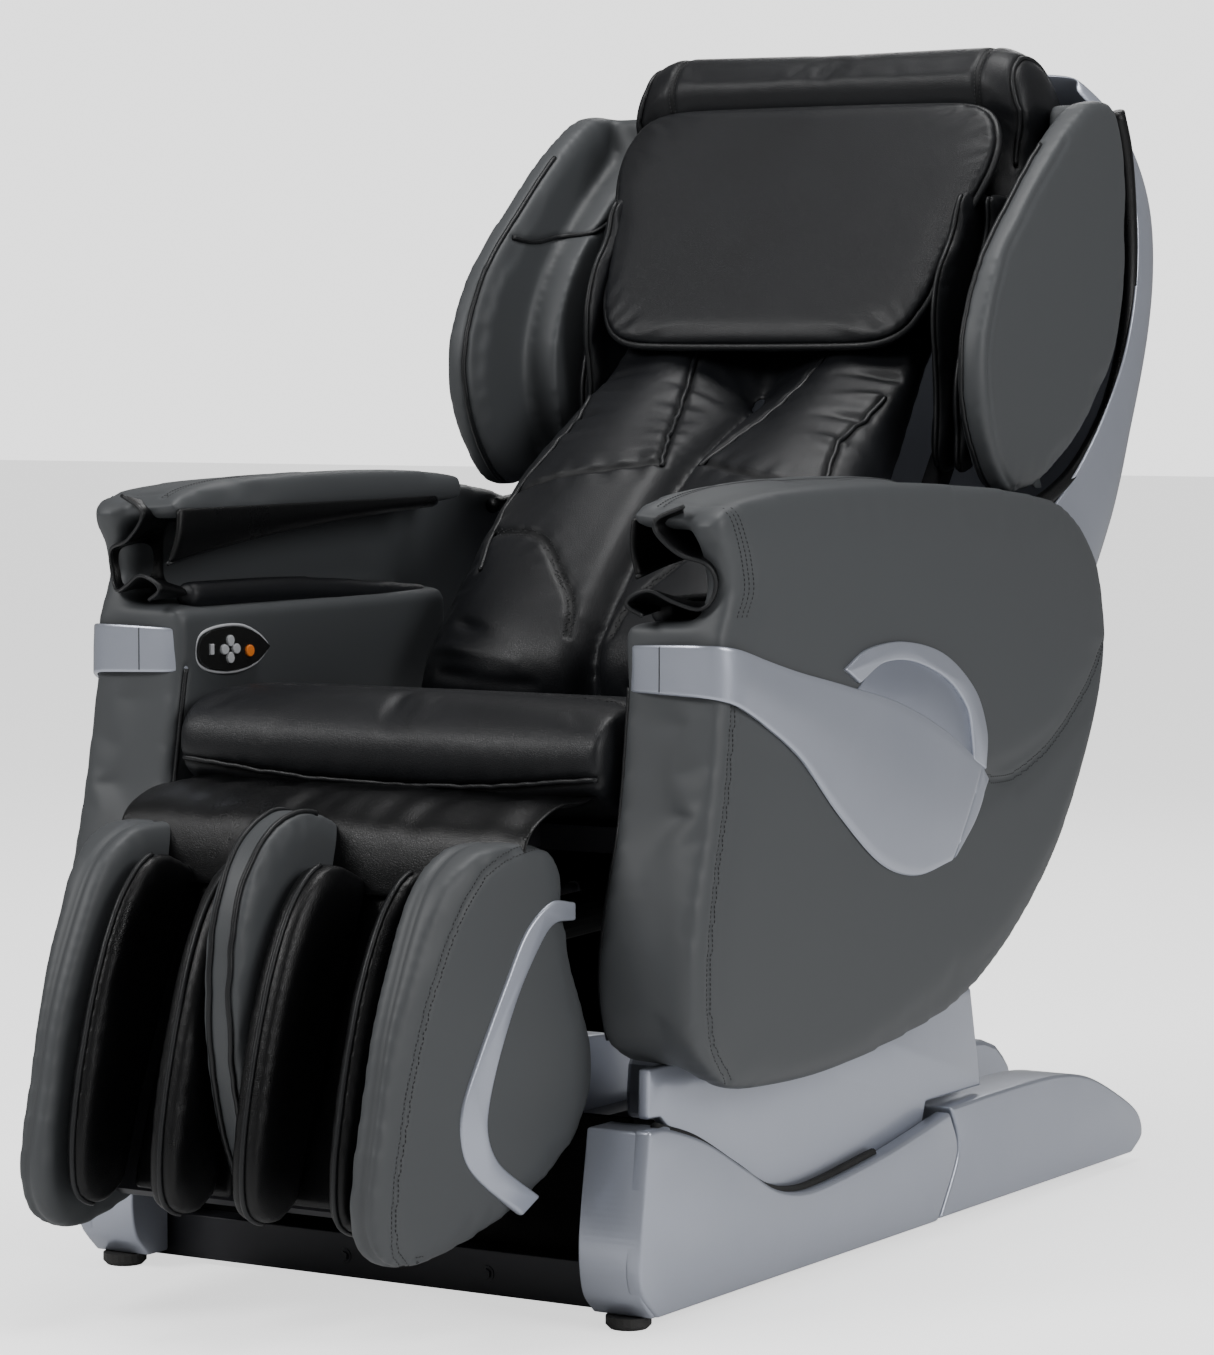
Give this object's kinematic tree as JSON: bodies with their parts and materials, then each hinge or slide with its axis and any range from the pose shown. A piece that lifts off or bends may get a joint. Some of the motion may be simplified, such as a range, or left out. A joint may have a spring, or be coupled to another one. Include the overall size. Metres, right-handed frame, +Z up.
{
  "type": "zero gravity massage recliner",
  "caption": "Padded full-body massage recliner with winged back, flip-up head pillow, channelled arms, lifting calf rest and a base that tilts to a weightless lying position.",
  "frame": {"origin": "on the floor under the middle of the chair, at the bottom centre of its box", "axes": "+Z up, +Y from the footrest towards the back of the chair, +X to the sitter's left hand; the sitter faces -Y"},
  "size_m": [0.76, 1.4248, 1.2597],
  "materials": {
    "charcoal_leather": "dark charcoal grained leather, softly sheened",
    "panel_leather": "lighter charcoal grained leather with double stitching",
    "silver_plastic": "silver grey metallic paint on moulded plastic",
    "black_gloss": "polished black moulded plastic",
    "black_plastic": "fine textured black moulded plastic",
    "grey_button": "satin silver grey button",
    "orange_button": "orange button",
    "frame_steel": "black powder-coated steel",
    "zinc_steel": "zinc plated ground steel",
    "rubber": "black rubber"
  },
  "bodies": {
    "base": {"base_frame": "frame_steel", "front_crossbar": "frame_steel", "left_front_foot": "rubber", "right_front_foot": "rubber", "left_rear_foot": "rubber", "right_rear_foot": "rubber", "left_base_cover": "silver_plastic", "right_base_cover": "silver_plastic", "left_rear_housing": "silver_plastic", "right_rear_housing": "silver_plastic", "rear_power_cover": "silver_plastic", "power_inlet": "black_plastic", "tilt_shaft": "zinc_steel"},
    "power_switch": {"power_switch": "black_plastic"},
    "left_wheel": {"left_transport_wheel": "rubber"},
    "right_wheel": {"right_transport_wheel": "rubber"},
    "tilt_motor": {"tilt_motor": "black_plastic"},
    "tilt_rod": {"tilt_rod": "zinc_steel"},
    "seat": {"seat_frame": "frame_steel", "recline_shaft": "zinc_steel", "legrest_shaft": "zinc_steel", "seat_cushion": "charcoal_leather", "left_arm_shell": "panel_leather", "right_arm_shell": "panel_leather", "left_armrest": "charcoal_leather", "right_armrest": "charcoal_leather", "left_cuff_pad": "charcoal_leather", "right_cuff_pad": "charcoal_leather", "left_arm_trim": "silver_plastic", "right_arm_trim": "silver_plastic", "left_tilt_cover": "silver_plastic", "right_tilt_cover": "silver_plastic", "control_panel": "black_gloss"},
    "keypad_up": {"keypad_up": "grey_button"},
    "keypad_down": {"keypad_down": "grey_button"},
    "keypad_front": {"keypad_front": "grey_button"},
    "keypad_back": {"keypad_back": "grey_button"},
    "power_button": {"power_button": "orange_button"},
    "mode_button": {"mode_button": "grey_button"},
    "recline_motor": {"recline_motor": "black_plastic"},
    "recline_rod": {"recline_rod": "zinc_steel"},
    "legrest_motor": {"legrest_motor": "black_plastic"},
    "legrest_rod": {"legrest_rod": "zinc_steel"},
    "backrest": {"back_frame": "frame_steel", "back_shell": "silver_plastic", "back_cushion": "charcoal_leather", "left_shoulder_wing": "panel_leather", "right_shoulder_wing": "panel_leather", "left_shoulder_flap": "charcoal_leather", "right_shoulder_flap": "charcoal_leather", "top_pad": "charcoal_leather"},
    "pillow": {"headrest_pillow": "charcoal_leather"},
    "carriage": {"massage_carriage": "black_plastic"},
    "spindle": {"kneading_spindle": "rubber"},
    "legrest": {"legrest_frame": "frame_steel", "left_calf_pod": "charcoal_leather", "right_calf_pod": "charcoal_leather", "left_calf_trim": "silver_plastic", "right_calf_trim": "silver_plastic", "calf_divider": "charcoal_leather"}
  },
  "joints": [
    {"name": "seat_tilt", "type": "hinge", "parent": "base", "child": "seat", "pos_m": [0, 0.29, 0.19], "axis": [-1, 0, 0], "range_deg": [0, 16]},
    {"name": "back_recline", "type": "hinge", "parent": "seat", "child": "backrest", "pos_m": [0, 0.1, 0.46], "axis": [-1, 0, 0], "range_deg": [0, 40]},
    {"name": "legrest_lift", "type": "hinge", "parent": "seat", "child": "legrest", "pos_m": [0, -0.425, 0.468], "axis": [-1, 0, 0], "range_deg": [0, 70]},
    {"name": "pillow_flip", "type": "hinge", "parent": "backrest", "child": "pillow", "pos_m": [0, 0.47, 1.192], "axis": [-1, 0, 0], "range_deg": [0, 110]},
    {"name": "massage_travel", "type": "slide", "parent": "backrest", "child": "carriage", "axis": [0, 0.5877, 0.8091], "range_m": [0, 0.42]},
    {"name": "kneading_spin", "type": "hinge", "parent": "carriage", "child": "spindle", "pos_m": [0, 0.24768, 0.61228], "axis": [1, 0, 0], "continuous": true},
    {"name": "keypad_up_press", "type": "slide", "parent": "seat", "child": "keypad_up", "axis": [-0.9946, 0.104, 0], "range_m": [0, 0.0015], "stiffness_N_per_m": 300},
    {"name": "keypad_down_press", "type": "slide", "parent": "seat", "child": "keypad_down", "axis": [-0.9946, 0.104, 0], "range_m": [0, 0.0015], "stiffness_N_per_m": 300},
    {"name": "keypad_front_press", "type": "slide", "parent": "seat", "child": "keypad_front", "axis": [-0.9946, 0.104, 0], "range_m": [0, 0.0015], "stiffness_N_per_m": 300},
    {"name": "keypad_back_press", "type": "slide", "parent": "seat", "child": "keypad_back", "axis": [-0.9946, 0.104, 0], "range_m": [0, 0.0015], "stiffness_N_per_m": 300},
    {"name": "power_button_press", "type": "slide", "parent": "seat", "child": "power_button", "axis": [-0.9946, 0.104, 0], "range_m": [0, 0.0015], "stiffness_N_per_m": 300},
    {"name": "mode_button_press", "type": "slide", "parent": "seat", "child": "mode_button", "axis": [-0.9946, 0.104, 0], "range_m": [0, 0.0015], "stiffness_N_per_m": 300},
    {"name": "switch_rock", "type": "hinge", "parent": "base", "child": "power_switch", "pos_m": [-0.055, 0.59, 0.074], "axis": [1, 0, 0], "range_deg": [-4, 4]},
    {"name": "left_wheel_roll", "type": "hinge", "parent": "base", "child": "left_wheel", "pos_m": [0.245, 0.603, 0.034], "axis": [1, 0, 0], "continuous": true},
    {"name": "right_wheel_roll", "type": "hinge", "parent": "base", "child": "right_wheel", "pos_m": [-0.245, 0.603, 0.034], "axis": [1, 0, 0], "continuous": true},
    {"name": "tilt_motor_swing", "type": "hinge", "parent": "base", "child": "tilt_motor", "pos_m": [0, -0.22, 0.076], "axis": [-1, 0, 0], "range_deg": [-2, 2]},
    {"name": "tilt_rod_slide", "type": "slide", "parent": "tilt_motor", "child": "tilt_rod", "axis": [0, 0.4077, 0.9131], "range_m": [-0.001, 0.125]},
    {"name": "recline_motor_swing", "type": "hinge", "parent": "seat", "child": "recline_motor", "pos_m": [-0.09, -0.2, 0.37], "axis": [-1, 0, 0], "range_deg": [-4, 2]},
    {"name": "recline_rod_slide", "type": "slide", "parent": "recline_motor", "child": "recline_rod", "axis": [0, 0.9956, -0.0933], "range_m": [-0.086, 0.001]},
    {"name": "legrest_motor_swing", "type": "hinge", "parent": "seat", "child": "legrest_motor", "pos_m": [0.09, 0.02, 0.36], "axis": [-1, 0, 0], "range_deg": [-2, 8]},
    {"name": "legrest_rod_slide", "type": "slide", "parent": "legrest_motor", "child": "legrest_rod", "axis": [0, -0.9996, -0.0289], "range_m": [-0.001, 0.14]}
  ],
  "couplings": [
    {"joint": "tilt_motor_swing", "follows": "seat_tilt", "ratio": -0.0213},
    {"joint": "tilt_rod_slide", "follows": "seat_tilt", "m_per_rad": 0.4231},
    {"joint": "recline_motor_swing", "follows": "back_recline", "ratio": -0.0451},
    {"joint": "recline_rod_slide", "follows": "back_recline", "m_per_rad": -0.1185},
    {"joint": "legrest_motor_swing", "follows": "legrest_lift", "ratio": 0.0815},
    {"joint": "legrest_rod_slide", "follows": "legrest_lift", "m_per_rad": 0.1094}
  ]
}
